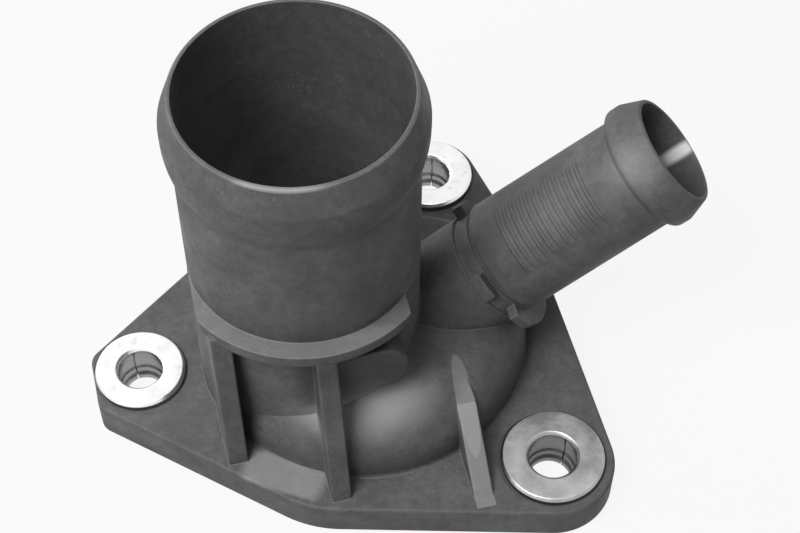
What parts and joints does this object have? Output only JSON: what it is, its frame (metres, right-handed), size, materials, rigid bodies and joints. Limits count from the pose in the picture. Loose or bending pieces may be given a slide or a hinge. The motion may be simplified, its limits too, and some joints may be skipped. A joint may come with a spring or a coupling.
{
  "type": "coolant flange",
  "caption": "Moulded coolant flange with an upright hose neck, a slanted branch neck, a domed chamber, metal bolt bushes and a sealing ring under the plate.",
  "frame": {"origin": "middle of the object's footprint, in the plane of the plate's underside", "axes": "+Z along the upright neck, away from the plate; +X to the side that the branch neck leans to; +Y to the back"},
  "size_m": [0.0962, 0.0744, 0.0703],
  "materials": {
    "glass filled nylon": "satin moulded",
    "zinc plated steel": "plated",
    "sealing rubber": "matte"
  },
  "bodies": {
    "root": {"body": "glass filled nylon", "left_bush": "zinc plated steel", "right_bush": "zinc plated steel", "back_bush": "zinc plated steel", "face_seal": "sealing rubber"}
  },
  "joints": []
}
